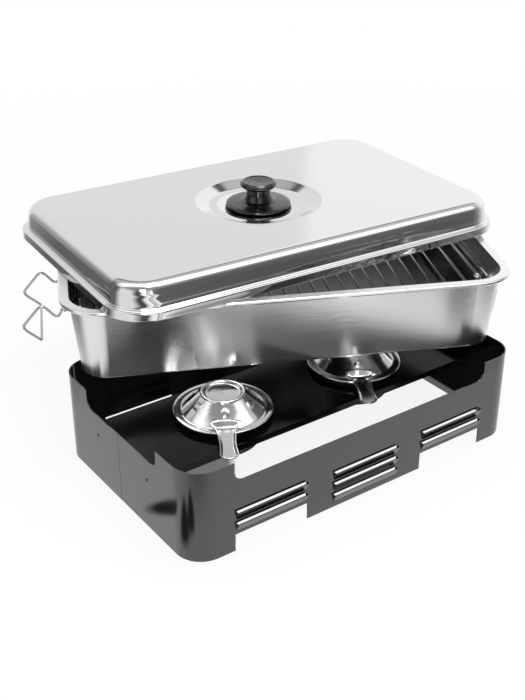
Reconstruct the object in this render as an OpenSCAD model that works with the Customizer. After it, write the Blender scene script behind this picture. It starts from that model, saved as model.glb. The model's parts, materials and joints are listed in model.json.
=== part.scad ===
// Two-burner stovetop smoker box: a folded sheet stand with a burner deck,
// two spirit burners with covers, a drawn pan with wire bails, a drip tray,
// a wire rack and a loose pressed lid with a moulded knob.
// The pan is set back and turned on the stand, and the lid lies askew on it.
// Origin: middle of the front wall's bottom edge, +X to the right, +Z up.

/* [Stand] */
// Outer length of the stand
stand_l = 362; // [320:1:400]
// Outer width of the stand
stand_w = 222; // [200:1:250]
// Height to the four raised corners
stand_h = 86.5; // [84:0.5:110]
// Thickness of the stand's sheet
stand_t = 1.0; // [0.8:0.1:1.5]
// Outer radius of the stand's upright corners
stand_r = 25; // [12:1:30]
// Length of each raised corner along the long walls
corner_l = 42; // [36:1:50]
// Length of each raised corner along the end walls
end_corner_l = 52; // [50:1:60]
// Depth of the air gap between the raised corners
notch_d = 17.5; // [8:0.5:20]
// Radius at the bottom of each air gap
notch_r = 9; // [3:0.5:12]
// Half length of the middle foot under each long wall
mid_foot = 64.5; // [50:0.5:75]
// Height of the cut-outs between the feet
foot_h = 16.5; // [8:0.5:18]
// Place of the sheet's lap seam along the left end wall
seam_y = 4.5; // [-30:0.5:30]

/* [Louvres] */
// Length of one louvre
louvre_l = 72; // [50:1:74]
// Height of one louvre's slot in the sheet
louvre_h = 8.5; // [6:0.25:9]
// How far a louvre's blade stands out at its top
louvre_out = 3.2; // [2:0.1:5]
// Vertical spacing of the louvres
louvre_pitch = 11.6; // [10.5:0.1:13]
// Top of the upper slot over a cut-out
louvre_side_top = 39.5; // [36:0.5:46]
// Top of the upper slot over the middle foot
louvre_mid_top = 36.8; // [34:0.5:46]

/* [Burner deck] */
// Width of the deck from front to back
deck_w = 104; // [100:1:130]
// Height of the deck's top over the table
deck_z = 55; // [50:0.5:60]
// Thickness of the deck's sheet
deck_t = 0.8; // [0.6:0.1:1.5]
// Depth of the flange under each long edge
deck_flange = 6; // [3:0.5:12]
// Depth of the flange at each end
deck_end_flange = 12.5; // [10:0.5:16]
// Distance of the rivets from the deck's middle line
rivet_y = 42; // [30:1:46]
// Depth of the rivets under the deck's top
rivet_drop = 6.5; // [5:0.5:8]

/* [Burners] */
// Distance of each burner from the middle of the stand
burner_x = 76; // [66:1:90]
// Outer radius of the cup's wall
cup_r = 33; // [26:0.5:34]
// Depth of the cup under the deck
cup_d = 27; // [18:0.5:34]
// Thickness of the cup's wall
cup_t = 0.8; // [0.5:0.1:1.2]
// Thickness of the wire mesh over the wool
mesh_t = 1.0; // [0.6:0.1:1.5]
// Gap between the deck and the underside of the cover's brim
brim_gap = 5.2; // [4:0.1:7]

/* [Burner covers] */
// Outer radius of the cover's brim
cover_r = 45.3; // [42:0.1:49]
// Radius where the brim turns up into the cone
cover_cone_r = 37; // [35.8:0.1:40]
// Outer radius of the cover's crown
crown_r = 19; // [15:0.5:22]
// Height of the cover from brim to crown
cover_h = 18; // [14:0.5:19]
// Radius of the dished disc in the crown
crown_dish_r = 16.5; // [12:0.5:17.5]
// Depth of the dished disc in the crown
crown_dish_d = 2.5; // [1:0.1:4]
// Thickness of the cover's sheet
cover_t = 0.7; // [0.5:0.1:1.2]
// Radius of the round dimples pressed up in the cone
dimple_r = 3.9; // [2.5:0.1:4.5]
// Height of the dimples over the cone
dimple_h = 0.6; // [0.3:0.1:0.9]
// Distance of the dimples from the cover's axis
dimple_at = 27; // [24:0.5:29]
// Direction of the cover's handle, seen from above
handle_angle = -120; // [-150:1:-30]
// Distance of the handle's tip from the cover's axis
handle_reach = 87; // [75:1:92]
// Width of the handle along its shank
handle_w = 16; // [12:0.5:20]
// Width of the handle where it meets the cone
handle_root_w = 27; // [20:0.5:32]
// Height of the handle's rolled edges
handle_edge = 2.2; // [1.5:0.1:3]

/* [Pan] */
// Outer length of the pan's bottom
pan_l = 384; // [350:1:420]
// Outer width of the pan's bottom
pan_w = 228; // [210:1:250]
// Height of the pan
pan_h = 72.5; // [70:0.5:95]
// How far each wall leans out from bottom to rim
pan_draft = 7; // [3:0.5:10]
// Outer corner radius at the pan's bottom
pan_r = 24; // [16:1:34]
// Radius of the pan's bottom edge
pan_edge_r = 3; // [2:0.5:5]
// Width of the flat rim
rim_w = 8; // [6:0.5:12]
// Radius of the rolled bead at the rim's edge
rim_bead = 1.8; // [1.2:0.1:2.5]
// Sheet thickness of the pan
pan_t = 0.8; // [0.6:0.1:1.2]
// Turn of the pan on the stand
pan_turn = -25.4; // [-30:0.1:-20]
// Shift of the pan to the right on the stand
pan_dx = 46.5; // [44:0.5:50]
// Shift of the pan to the back on the stand
pan_dy = 95; // [90:0.5:96]

/* [Bails] */
// Radius of the bail wire
wire_r = 1.3; // [1:0.05:1.6]
// Half distance between a bail's two legs
bail_half = 38; // [30:1:60]
// Height of a bail's pivot over the pan's bottom
bail_z = 35.5; // [30:0.5:45]
// Distance of a bail's pivot from the wall
bail_gap = 6.2; // [5:0.1:8]
// How far the left bail has swung out of its hanging place
bail_left_swing = 48; // [0:1:60]

/* [Drip tray] */
// Length of the drip tray
tray_l = 338; // [300:1:344]
// Width of the drip tray
tray_w = 180; // [150:1:184]
// Height of the drip tray's wall
tray_h = 12; // [8:0.5:16]
// Height of the feet pressed into the drip tray
tray_foot = 8; // [5:0.5:12]
// Radius of the tray's pressed feet where they meet its floor
tray_foot_r = 12; // [8:0.5:18]
// Distance of the feet from the tray's walls
tray_foot_inset = 34; // [20:1:60]

/* [Rack] */
// Height of the rack's frame wire over the pan's floor
rack_z = 46; // [40:0.5:52]
// Radius of the rack's frame wire
frame_r = 1.75; // [1.5:0.05:2.2]
// Radius of the rack's cross wires
cross_r = 1.15; // [1:0.05:1.6]
// Spacing of the cross wires
cross_pitch = 14; // [10:0.5:20]
// Clearance between the rack and the pan's wall
rack_gap = 2.2; // [1.5:0.1:4]
// Half length of the rod between the two eyes at each end of the rack
rod_half = 63; // [40:1:66]
// Width of each lifting hook
hook_w = 15; // [10:1:16]
// Height of each lifting hook over the frame
hook_h = 12; // [6:0.5:13]

/* [Lid] */
// Outer length of the lid over its skirt
lid_l = 420; // [400:1:460]
// Outer width of the lid over its skirt
lid_w = 262; // [250:1:300]
// Height of the lid
lid_h = 31; // [28:0.5:40]
// Corner radius of the lid's skirt
lid_r = 40; // [36:1:46]
// Height of the shelf over the skirt's lower edge
shelf_z = 9.2; // [6:0.1:12]
// Width of the shelf between skirt and wall
shelf_w = 6.3; // [5:0.1:9]
// Radius of the shoulder round the top face
shoulder_r = 11; // [3:0.5:13]
// Step down half way out along the lid's shelf
shelf_step = 0.8; // [0.4:0.1:1.2]
// Radius of the rolled bead under the skirt
skirt_bead = 1.3; // [1:0.1:1.8]
// Sheet thickness of the lid
lid_t = 0.8; // [0.6:0.1:1.2]
// Turn of the lid on the stand
lid_turn = -4.2; // [-10:0.1:0]
// Shift of the lid to the right of the pan's middle
lid_dx = 8; // [4:0.5:12]
// Shift of the lid behind the pan's middle
lid_dy = 33.5; // [28:0.5:38]
// Outer radius of the round dish in the top
dish_r = 62; // [50:0.5:70]
// Radius of the dish's flat floor
dish_floor_r = 49; // [40:0.5:49]
// Depth of the dish
dish_d = 5; // [2:0.1:8]

/* [Knob] */
// Radius of the knob's base
base_r = 31.8; // [24:0.1:38]
// Height of the knob's base
base_h = 5.6; // [4:0.1:8]
// Radius of the knob's neck
neck_r = 13.5; // [10:0.1:16]
// Radius of the knob's cap
cap_r = 18; // [16.5:0.1:24]
// Thickness of the knob's cap
cap_h = 6; // [5:0.1:8]
// Height of the knob over the dish
knob_h = 24.5; // [20:0.5:34]
// Radius of the knob's screw
screw_r = 2.5; // [2:0.1:3]

/* [Hidden] */
$fn = 48;

// running and sliding clearances
fit = 0.3;
pin_fit = 0.25;
over = 1;

stand_mid_y = stand_w / 2 - stand_t / 2;
in_l = stand_l - 2 * stand_t;
notch_z = stand_h - notch_d;
rivet_r = 1.2;
rivet_head_r = 1.9;
rivet_head_h = 0.5;
rivet_z = deck_z - rivet_drop;

brim_z = deck_z + brim_gap;
brim_roll = 1.1;
cup_bottom_z = deck_z - cup_d;
handle_root_at = 31.2;
handle_t = 0.8;

rim_l = pan_l + 2 * pan_draft + 2 * rim_w;
rim_width = pan_w + 2 * pan_draft + 2 * rim_w;
draft_angle = atan(pan_draft / pan_h);
pivot_x = pan_l / 2 + pan_draft * bail_z / pan_h + bail_gap;
ear_y = bail_half - wire_r - 3.5;
ear_t = 1.4;

rack_frame_z = pan_t + rack_z;
rack_half_l = pan_l / 2 + pan_draft * rack_frame_z / pan_h - pan_t - rack_gap - frame_r;
rack_half_w = pan_w / 2 + pan_draft * rack_frame_z / pan_h - pan_t - rack_gap - frame_r;
rack_corner = pan_r;
cross_z = rack_frame_z + frame_r + cross_r;
leg_at = [rack_half_l - 16, rack_half_w - 14];

tray_t = 0.8;
tray_r = 16;
tray_z = pan_t + tray_foot;

screw_head_r = 5;
screw_head_h = 2.4;
washer_r = 8;
washer_t = 1.2;
dish_z = lid_h - dish_d;

function arc(cx, cy, r, from, to, steps = 5) =
    [for (i = [0 : steps]) [cx + r * cos(from + (to - from) * i / steps),
                            cy + r * sin(from + (to - from) * i / steps)]];

// ---- places ----

module on_stand() {
    translate([0, stand_mid_y, 0]) children();
}

module on_pan() {
    on_stand() translate([pan_dx, pan_dy, stand_h]) rotate([0, 0, pan_turn]) children();
}

module on_lid() {
    on_stand() translate([pan_dx + lid_dx, pan_dy + lid_dy, stand_h + pan_h])
        rotate([0, 0, lid_turn]) children();
}

module on_burner(side) {
    on_stand() translate([side * burner_x, 0, 0]) children();
}

// ---- shared shapes ----

// Rounded plate with its lower face at z = 0
module plate(l, w, r, h) {
    union() {
        translate([-l / 2 + r, -w / 2, 0]) cube([l - 2 * r, w, h]);
        translate([-l / 2, -w / 2 + r, 0]) cube([l, w - 2 * r, h]);
        for (sx = [-1, 1], sy = [-1, 1])
            translate([sx * (l / 2 - r), sy * (w / 2 - r), 0]) cylinder(r = r, h = h);
    }
}

// Carries a profile round a rounded rectangle; its x = 0 is the corner's centre
module around(l, w, r) {
    cx = l / 2 - r;
    cy = w / 2 - r;
    for (q = [0 : 3]) {
        sx = (q == 0 || q == 3) ? 1 : -1;
        sy = q < 2 ? 1 : -1;
        along = q % 2 == 0 ? cy : cx;
        out = q % 2 == 0 ? cx : cy;
        translate([sx * cx, sy * cy, 0]) rotate([0, 0, q * 90])
            rotate_extrude(angle = 90) children();
        rotate([0, 0, q * 90]) translate([out, 0, 0]) rotate([90, 0, 0])
            linear_extrude(height = 2 * along, center = true) children();
    }
}

// Round wire from one point to the next, with a ball a hair thicker at each bend
module wire(points, r) {
    ball = r + 0.08;
    for (i = [0 : len(points) - 2]) {
        v = points[i + 1] - points[i];
        translate(points[i]) rotate([0, acos(v[2] / norm(v)), atan2(v[1], v[0])])
            cylinder(r = r, h = norm(v), $fn = 24);
    }
    for (i = [1 : len(points) - 2]) translate(points[i]) sphere(r = ball, $fn = 24);
}

// ---- stand ----

// Cuts through both walls that face along Y, from x = -half to half
module gap_cutter(half, depth) {
    rotate([90, 0, 0]) linear_extrude(height = depth, center = true) union() {
        translate([-half, notch_z + notch_r]) square([2 * half, notch_d]);
        translate([-half + notch_r, notch_z]) square([2 * half - 2 * notch_r, notch_d]);
        for (s = [-1, 1]) translate([s * (half - notch_r), notch_z + notch_r]) circle(r = notch_r);
    }
}

// Places a louvre on the front wall and its twin on the back wall
module each_louvre() {
    side_x = (mid_foot + stand_l / 2 - corner_l) / 2;
    for (back = [0, 1]) rotate([0, 0, back * 180]) {
        for (s = [-1, 1], i = [0, 1])
            translate([s * side_x, -stand_w / 2, louvre_side_top - i * louvre_pitch]) children();
        for (i = [0 : 2])
            translate([0, -stand_w / 2, louvre_mid_top - i * louvre_pitch]) children();
    }
}

module stand_shell() {
    color("#3b3c3f") on_stand() union() {
        difference() {
            plate(stand_l, stand_w, stand_r, stand_h);
            translate([0, 0, -over])
                plate(in_l, stand_w - 2 * stand_t, stand_r - stand_t, stand_h + 2 * over);
            gap_cutter(stand_l / 2 - corner_l, stand_w + 2 * over);
            rotate([0, 0, 90]) gap_cutter(stand_w / 2 - end_corner_l, stand_l + 2 * over);
            for (s = [-1, 1]) translate([s > 0 ? mid_foot : -stand_l / 2 + corner_l, -stand_w / 2 - over, -over])
                cube([stand_l / 2 - corner_l - mid_foot, stand_w + 2 * over, foot_h + over]);
            each_louvre() translate([-louvre_l / 2, -over, -louvre_h])
                cube([louvre_l, stand_t + 2 * over, louvre_h]);
            for (s = [-1, 1], y = [-rivet_y, rivet_y])
                translate([s * stand_l / 2, y, rivet_z]) rotate([0, 90, 0])
                    cylinder(r = rivet_r + 0.05, h = 4 * stand_t, center = true);
            // edge of the sheet's outer end, seen as a fine upright line
            translate([-stand_l / 2 - over, seam_y, -over])
                cube([over + 0.4 * stand_t, 0.5, stand_h + 2 * over]);
        }
        each_louvre() translate([0, 0, -louvre_h]) rotate([0, 0, -90]) rotate([90, 0, 0])
            linear_extrude(height = louvre_l - 0.8, center = true) polygon([
                [-0.1 * stand_t, -0.8], [-0.9 * stand_t, -0.8], [-0.9 * stand_t, 0.15],
                [louvre_out - stand_t, louvre_h - 0.6], [louvre_out, louvre_h - 0.6],
                [-0.1 * stand_t, 0.15]]);
        each_louvre() for (s = [-1, 1]) translate([s * (louvre_l / 2 - 0.1), 0, -louvre_h])
            rotate([0, 0, -90]) rotate([90, 0, 0]) linear_extrude(height = 0.8, center = true) polygon([
                [-0.8 * stand_t, -0.5], [-0.4 * stand_t, -0.5], [-0.4 * stand_t, 0.15],
                [louvre_out - 0.4 * stand_t, louvre_h - 0.8], [-0.8 * stand_t, louvre_h - 0.8]]);
        // lap of the sheet's two ends inside the left wall
        translate([-in_l / 2 - 0.2, seam_y - 2, 0.3]) cube([stand_t, 14, deck_z - deck_end_flange - 1]);
    }
}

module burner_deck() {
    l = in_l;
    color("#222326") on_stand() difference() {
        union() {
            translate([-l / 2, -deck_w / 2, deck_z - deck_t]) cube([l, deck_w, deck_t]);
            for (s = [-1, 1]) {
                translate([-l / 2 + 3, s * (deck_w / 2 - deck_t / 2) - deck_t / 2, deck_z - deck_flange])
                    cube([l - 6, deck_t, deck_flange]);
                translate([s * (l / 2 - deck_t / 2) - deck_t / 2, -deck_w / 2 + 1, deck_z - deck_end_flange])
                    cube([deck_t, deck_w - 2, deck_end_flange]);
            }
        }
        for (s = [-1, 1]) translate([s * burner_x, 0, deck_z - 2 * deck_t])
            cylinder(r = cup_r + fit, h = 3 * deck_t);
        for (s = [-1, 1], y = [-rivet_y, rivet_y])
            translate([s * l / 2, y, rivet_z]) rotate([0, 90, 0])
                cylinder(r = rivet_r + 0.05, h = 4 * deck_t, center = true);
    }
}

module deck_rivets() {
    grip = stand_t + deck_t;
    color("#4a4b4e") on_stand() for (s = [-1, 1], y = [-rivet_y, rivet_y])
        translate([s * stand_l / 2, y, rivet_z]) rotate([0, s * 90, 0]) {
            cylinder(r1 = rivet_head_r, r2 = rivet_head_r - 0.4, h = rivet_head_h);
            translate([0, 0, -grip]) cylinder(r = rivet_r, h = grip);
            translate([0, 0, -grip - rivet_head_h]) cylinder(r = rivet_head_r, h = rivet_head_h);
        }
}

// ---- burners ----

module burner_cup(side) {
    collar_r = cover_cone_r + 0.9;
    color("#c9cbcd") on_burner(side) rotate_extrude() polygon([
        [0, cup_bottom_z], [cup_r - 2, cup_bottom_z], [cup_r, cup_bottom_z + 2], [cup_r, deck_z],
        [collar_r, deck_z], [collar_r, brim_z], [collar_r - cup_t, brim_z],
        [collar_r - cup_t, deck_z + cup_t], [cup_r - cup_t, deck_z + cup_t],
        [cup_r - cup_t, cup_bottom_z + 2.3], [cup_r - 2.3, cup_bottom_z + cup_t],
        [0, cup_bottom_z + cup_t]]);
}

module burner_wool(side) {
    bottom = cup_bottom_z + cup_t;
    color("#d8d4c8") on_burner(side) translate([0, 0, bottom])
        cylinder(r = cup_r - cup_t - 1.6, h = deck_z - mesh_t - bottom);
}

module burner_mesh(side) {
    color("#9a9c9e") on_burner(side) translate([0, 0, deck_z - mesh_t])
        cylinder(r = cup_r - cup_t - fit, h = mesh_t);
}

// Sheet of the cover: rolled brim, cone, raised crown ring and dished disc
module cover_sheet() {
    top = brim_z + cover_h;
    dish = top - crown_dish_d;
    rotate_extrude() polygon([
        [cover_r - brim_roll, brim_z], [cover_cone_r + 0.4, brim_z], [crown_r + 0.7, top - 1.6],
        [crown_r - 0.6, top - cover_t], [crown_dish_r + 0.5, top - cover_t],
        [crown_dish_r, dish - cover_t], [0, dish - cover_t], [0, dish],
        [crown_dish_r - cover_t, dish], [crown_dish_r - 0.2, top], [crown_r - 0.2, top],
        [crown_r + 1.2, top - 0.9], [cover_cone_r + 0.9, brim_z + cover_t],
        [cover_r - brim_roll, brim_z + cover_t]]);
    rotate_extrude() translate([cover_r - brim_roll, brim_z + 0.3]) circle(r = brim_roll, $fn = 24);
}

// Height of the cone's outer face at a distance from the cover's axis
function cone_z(at) = brim_z + cover_t
    + (cover_cone_r + 0.9 - at) * (cover_h - 0.9 - cover_t) / (cover_cone_r - crown_r - 0.3);
cover_rivet_r = 1.5;
cover_rivet_half = 6;
cover_rivet_at = (cover_cone_r + cover_r - 2 * brim_roll) / 2 + 0.6;
handle_z = brim_z + brim_roll + 0.35;

// Six places on the cone, square to its face
module each_dimple() {
    slope = atan((cover_h - 0.9 - cover_t) / (cover_cone_r - crown_r - 0.3));
    for (i = [0 : 5]) rotate([0, 0, handle_angle + 60 * i])
        translate([dimple_at, 0, cone_z(dimple_at)]) rotate([0, slope, 0]) children();
}

module burner_cover(side) {
    color("#d9dbdd") on_burner(side) difference() {
        union() {
            cover_sheet();
            each_dimple() translate([0, 0, -0.4])
                cylinder(r1 = dimple_r, r2 = dimple_r - 0.9, h = dimple_h + 0.4);
        }
        each_dimple() translate([0, 0, -2])
            cylinder(r = dimple_r - 1.2, h = 2 + dimple_h - cover_t);
        rotate([0, 0, handle_angle]) for (s = [-1, 1])
            translate([cover_rivet_at, s * cover_rivet_half, brim_z - over])
                cylinder(r = cover_rivet_r + 0.05, h = cover_h);
    }
}

// Outline of the handle: flared root on the cone, straight shank and round tip
module handle_outline(inset) {
    neck = cover_r + 6;
    tip = handle_reach - handle_w / 2;
    shank = handle_w / 2 - inset;
    wide = handle_root_w / 2 - inset;
    union() {
        polygon([[handle_root_at, -wide], [neck, -shank], [tip, -shank],
                 [tip, shank], [neck, shank], [handle_root_at, wide]]);
        translate([tip, 0]) circle(r = shank);
    }
}

// The root follows the cone, and the shank runs out level over the deck's edge
module cover_handle(side) {
    bend = cover_cone_r + 0.9 - (handle_z - 0.1 - brim_z - cover_t) * (cover_cone_r - crown_r - 0.3)
        / (cover_h - 0.9 - cover_t);
    root_z = cone_z(handle_root_at) + 0.1;
    color("#d0d2d4") on_burner(side) rotate([0, 0, handle_angle]) difference() {
        union() {
            intersection() {
                rotate_extrude() polygon([
                    [handle_root_at, root_z], [bend, handle_z], [handle_reach + 1, handle_z],
                    [handle_reach + 1, handle_z + handle_t], [bend + 0.4, handle_z + handle_t],
                    [handle_root_at, root_z + 1.2 * handle_t]]);
                linear_extrude(height = brim_z + 2 * cover_h) handle_outline(0);
            }
            translate([0, 0, handle_z]) linear_extrude(height = handle_edge) intersection() {
                difference() {
                    handle_outline(0);
                    handle_outline(1.1);
                }
                translate([cover_rivet_at - 1, -cover_r]) square([handle_reach, 2 * cover_r]);
            }
        }
        for (s = [-1, 1]) translate([cover_rivet_at, s * cover_rivet_half, brim_z])
            cylinder(r = cover_rivet_r + 0.05, h = cover_h);
    }
}

module cover_rivets(side) {
    under = brim_z;
    top = handle_z + handle_t;
    color("#b9bbbd") on_burner(side) rotate([0, 0, handle_angle]) for (s = [-1, 1])
        translate([cover_rivet_at, s * cover_rivet_half, 0]) {
            translate([0, 0, under - 0.6]) cylinder(r = cover_rivet_r + 0.4, h = 0.6);
            translate([0, 0, under]) cylinder(r = cover_rivet_r, h = top - under);
            translate([0, 0, top]) cylinder(r1 = cover_rivet_r + 1.1, r2 = cover_rivet_r, h = 0.8);
        }
}

// ---- pan ----

module pan() {
    top_x = pan_r + pan_draft;
    edge_x = top_x + rim_w;
    color("#cfd1d3") on_pan() union() {
        around(pan_l, pan_w, pan_r) polygon(concat(
            [[0, 0]],
            arc(pan_r - pan_edge_r, pan_edge_r, pan_edge_r, -90, 0),
            [[top_x - 0.1, pan_h - pan_t], [edge_x - rim_bead, pan_h - pan_t], [edge_x - rim_bead, pan_h],
             [top_x - pan_t, pan_h]],
            arc(pan_r - pan_edge_r, pan_edge_r, pan_edge_r - pan_t, 0, -90),
            [[0, pan_t]]));
        around(pan_l, pan_w, pan_r)
            translate([edge_x - rim_bead, pan_h - rim_bead]) circle(r = rim_bead, $fn = 24);
        translate([-pan_l / 2 + pan_r, -pan_w / 2 + pan_r, 0])
            cube([pan_l - 2 * pan_r, pan_w - 2 * pan_r, pan_t]);
    }
}

// Two brackets on one end wall, each a plate on the wall with an ear for the bail's end
module bail_lugs(side) {
    ear_out = bail_gap + 3.2;
    color("#b4b6b8") on_pan() rotate([0, 0, side > 0 ? 0 : 180])
        for (s = [-1, 1]) difference() {
            translate([pivot_x - bail_gap, s * ear_y, bail_z]) rotate([0, draft_angle, 0]) union() {
                translate([0, -6, -7]) cube([1.2, 12, 14]);
                translate([0, -ear_t / 2, -4.2]) cube([ear_out, ear_t, 8.4]);
            }
            translate([pivot_x, s * ear_y, bail_z]) rotate([90, 0, 0])
                cylinder(r = wire_r + pin_fit, h = 3 * ear_t, center = true);
        }
}

// Corner points of one bail leg, out from the pivot and up, in its photographed swing
leg = [[0, 0], [3.6, 1], [6.2, -5], [9, -7.4], [12, -6], [19.5, 2.8], [23, 4.3], [26, 2.6],
       [40, -13.5], [40.8, -16.5], [38.5, -20], [25.5, -31]];

module bail_wire(side, swing) {
    pin_in = ear_y - ear_t / 2 - 2.6;
    at = function (p, y) [p[0], y, p[1]];
    on_pan() rotate([0, 0, side > 0 ? 0 : 180]) translate([pivot_x, 0, bail_z])
        rotate([0, 48 - swing, 0]) wire(concat(
            [[0, -pin_in, 0]],
            [for (p = leg) at(p, -bail_half)],
            [for (i = [len(leg) - 1 : -1 : 0]) at(leg[i], bail_half)],
            [[0, pin_in, 0]]), wire_r);
}

module bail_left() {
    color("#8f9194") bail_wire(-1, bail_left_swing);
}

module bail_right() {
    color("#8f9194") bail_wire(1, 0);
}

// ---- drip tray and rack ----

module drip_tray() {
    color("#b9bbbd") on_pan() difference() {
        union() {
            translate([0, 0, tray_z]) plate(tray_l, tray_w, tray_r, tray_h);
            for (sx = [-1, 1], sy = [-1, 1])
                translate([sx * (tray_l / 2 - tray_foot_inset), sy * (tray_w / 2 - tray_foot_inset), pan_t])
                    cylinder(r1 = tray_foot_r * 0.6, r2 = tray_foot_r, h = tray_foot + tray_t);
        }
        translate([0, 0, tray_z + tray_t])
            plate(tray_l - 2 * tray_t, tray_w - 2 * tray_t, tray_r - tray_t, tray_h);
    }
}

// Wire frame with rounded corners, and four legs down to the pan's floor
module rack_frame() {
    leg_h = rack_frame_z - pan_t;
    bend_x = leg_at[0] - rack_half_l + rack_corner;
    bar_half = rack_half_w - rack_corner + sqrt(pow(rack_corner, 2) - pow(bend_x, 2)) - 0.5;
    color("#c4c6c8") on_pan() union() {
        translate([0, 0, rack_frame_z])
            around(2 * rack_half_l, 2 * rack_half_w, rack_corner) translate([rack_corner, 0])
            circle(r = frame_r, $fn = 24);
        for (sx = [-1, 1]) {
            translate([sx * leg_at[0], 0, rack_frame_z]) rotate([90, 0, 0])
                cylinder(r = frame_r - 0.1, h = 2 * bar_half, center = true);
            for (sy = [-1, 1]) translate([sx * leg_at[0], sy * leg_at[1], pan_t])
                cylinder(r = frame_r, h = leg_h);
        }
    }
}

module rack_wires() {
    reach = rack_half_l - rack_corner;
    count = floor(reach / cross_pitch);
    color("#d2d4d6") on_pan() for (i = [-count : count])
        translate([i * cross_pitch, 0, cross_z + 0.02]) rotate([90, 0, 0])
            cylinder(r = cross_r, h = 2 * rack_half_w + 2 * frame_r, center = true, $fn = 16);
}

// At each end of the rack, a rod with an eye at both ends and two upright hooks beside it
module rack_hooks() {
    x = rack_half_l - frame_r - cross_r - 0.1;
    foot = rack_frame_z - frame_r;
    top = rack_frame_z + frame_r + hook_h;
    eye_r = 3;
    y1 = rod_half + 2 * eye_r + 3.5;
    y2 = y1 + hook_w;
    color("#c4c6c8") on_pan() for (sx = [-1, 1]) {
        translate([sx * x, 0, cross_z + 0.12]) {
            rotate([90, 0, 0]) cylinder(r = cross_r, h = 2 * rod_half, center = true, $fn = 24);
            for (sy = [-1, 1]) translate([0, sy * (rod_half + eye_r - 0.4), 0])
                rotate_extrude() translate([eye_r, 0]) circle(r = cross_r + 0.1, $fn = 24);
        }
        for (sy = [-1, 1])
            wire([[sx * x, sy * y1, foot], [sx * x, sy * y1, top],
                  [sx * x, sy * y2, top], [sx * x, sy * y2, foot]], cross_r);
    }
}

// ---- lid ----

module lid_shell() {
    wall_x = lid_r - shelf_w;
    top_x = wall_x - 0.8;
    in_top = lid_h - lid_t;
    low_z = shelf_z - shelf_step;
    step_x = wall_x + shelf_w * 0.55;
    color("#dcdee0") on_lid() difference() {
        union() {
            around(lid_l, lid_w, lid_r) polygon(concat(
                [[lid_r, skirt_bead], [lid_r - 0.3, low_z - 1.6], [lid_r - 0.7, low_z - 0.5],
                 [lid_r - 1.6, low_z], [step_x + 0.3, low_z], [step_x - 0.2, shelf_z - 0.1],
                 [step_x - 0.6, shelf_z], [wall_x + 1.5, shelf_z], [wall_x + 0.5, shelf_z + 0.6],
                 [wall_x + 0.2, shelf_z + 1.8]],
                arc(top_x - shoulder_r, lid_h - shoulder_r, shoulder_r, 0, 90, 9),
                [[0, lid_h], [0, in_top]],
                arc(top_x - shoulder_r, lid_h - shoulder_r, shoulder_r - lid_t, 90, 0, 9),
                [[wall_x - 0.6, shelf_z + 1.2], [wall_x + 0.6, shelf_z - lid_t],
                 [step_x - 0.9, shelf_z - lid_t], [step_x - 0.3, low_z - lid_t],
                 [lid_r - 1.9, low_z - lid_t], [lid_r - 1.1, low_z - 2], [lid_r - 0.8, skirt_bead]]));
            around(lid_l, lid_w, lid_r)
                translate([lid_r - skirt_bead, skirt_bead]) circle(r = skirt_bead, $fn = 24);
            difference() {
                translate([-lid_l / 2 + lid_r, -lid_w / 2 + lid_r, in_top])
                    cube([lid_l - 2 * lid_r, lid_w - 2 * lid_r, lid_t]);
                translate([0, 0, in_top - over]) cylinder(r = dish_r, h = lid_t + 2 * over, $fn = 96);
            }
            rotate_extrude($fn = 96) polygon([
                [0, dish_z - lid_t], [dish_floor_r + 0.4, dish_z - lid_t], [dish_r + 0.1, in_top],
                [dish_r + 0.1, lid_h], [dish_floor_r, dish_z], [0, dish_z]]);
        }
        translate([0, 0, dish_z - 2]) cylinder(r = screw_r + 0.2, h = 4);
    }
}

module knob_base() {
    color("#17181a") on_lid() translate([0, 0, dish_z]) difference() {
        rotate_extrude($fn = 96) polygon(concat(
            [[0, 0], [base_r - 1, 0]],
            arc(base_r - 1.6, 1.6, 1.6, -60, 40),
            [[base_r - 3.5, base_h * 0.62], [neck_r + 4, base_h * 0.8], [neck_r + 1, base_h], [0, base_h]]));
        translate([0, 0, -over]) cylinder(r = screw_r + 0.2, h = base_h + 2 * over);
    }
}

module knob_cap() {
    h = knob_h - base_h;
    color("#141517") on_lid() translate([0, 0, dish_z + base_h]) difference() {
        rotate_extrude($fn = 96) polygon(concat(
            [[0, 0], [neck_r, 0], [neck_r - 1.8, h * 0.3], [neck_r - 1.6, h - cap_h - 1],
             [cap_r - 2.4, h - cap_h]],
            arc(cap_r - 1.8, h - cap_h / 2, 1.8, -50, 70),
            [[cap_r - 3, h], [cap_r - 5, h - 0.6], [0, h - 1.6]]));
        translate([0, 0, -over]) cylinder(r = screw_r + 0.05, h = h * 0.6 + over);
    }
}

module knob_washer() {
    color("#a9abad") on_lid() translate([0, 0, dish_z - lid_t - washer_t]) difference() {
        cylinder(r = washer_r, h = washer_t);
        translate([0, 0, -over]) cylinder(r = screw_r + 0.2, h = washer_t + 2 * over);
    }
}

module knob_screw() {
    head_z = dish_z - lid_t - washer_t;
    reach = lid_t + washer_t + base_h + (knob_h - base_h) * 0.5;
    color("#a2a4a6") on_lid() union() {
        translate([0, 0, head_z - screw_head_h]) cylinder(r1 = screw_head_r - 1, r2 = screw_head_r, h = screw_head_h);
        translate([0, 0, head_z]) cylinder(r = screw_r, h = reach);
    }
}

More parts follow.
